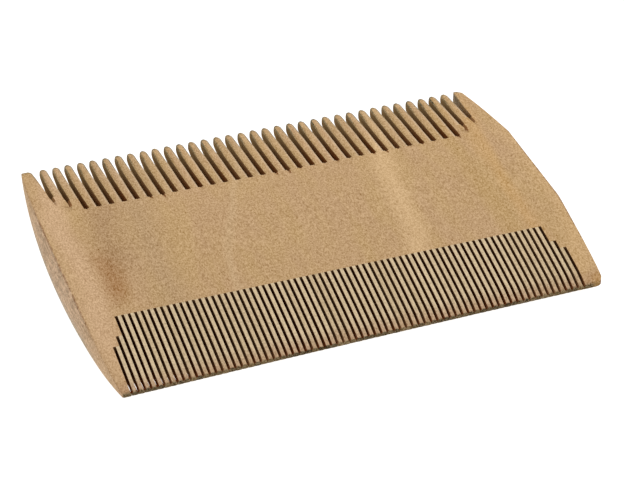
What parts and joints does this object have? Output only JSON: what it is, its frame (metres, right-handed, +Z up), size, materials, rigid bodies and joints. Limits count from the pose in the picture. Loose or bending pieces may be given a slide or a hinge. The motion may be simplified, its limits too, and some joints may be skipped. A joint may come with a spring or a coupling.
{
  "type": "flea comb",
  "caption": "Double-sided wooden flea comb: a lens-shaped board with a row of coarse teeth along one long edge and a row of fine teeth along the other.",
  "frame": {"origin": "middle of the underside, on the surface that the comb lies on", "axes": "+X along the comb to its right end, +Y across the comb from the fine teeth to the coarse teeth, +Z up through its thickness"},
  "size_m": [0.1, 0.07, 0.0075],
  "materials": {
    "wood": "smooth unvarnished pear wood, lightly polished by handling"
  },
  "bodies": {
    "root": {"comb_body": "wood", "coarse_teeth": "wood", "fine_teeth": "wood", "coarse_guard_left": "wood", "coarse_guard_right": "wood", "fine_guard_left": "wood", "fine_guard_right": "wood"}
  },
  "joints": []
}
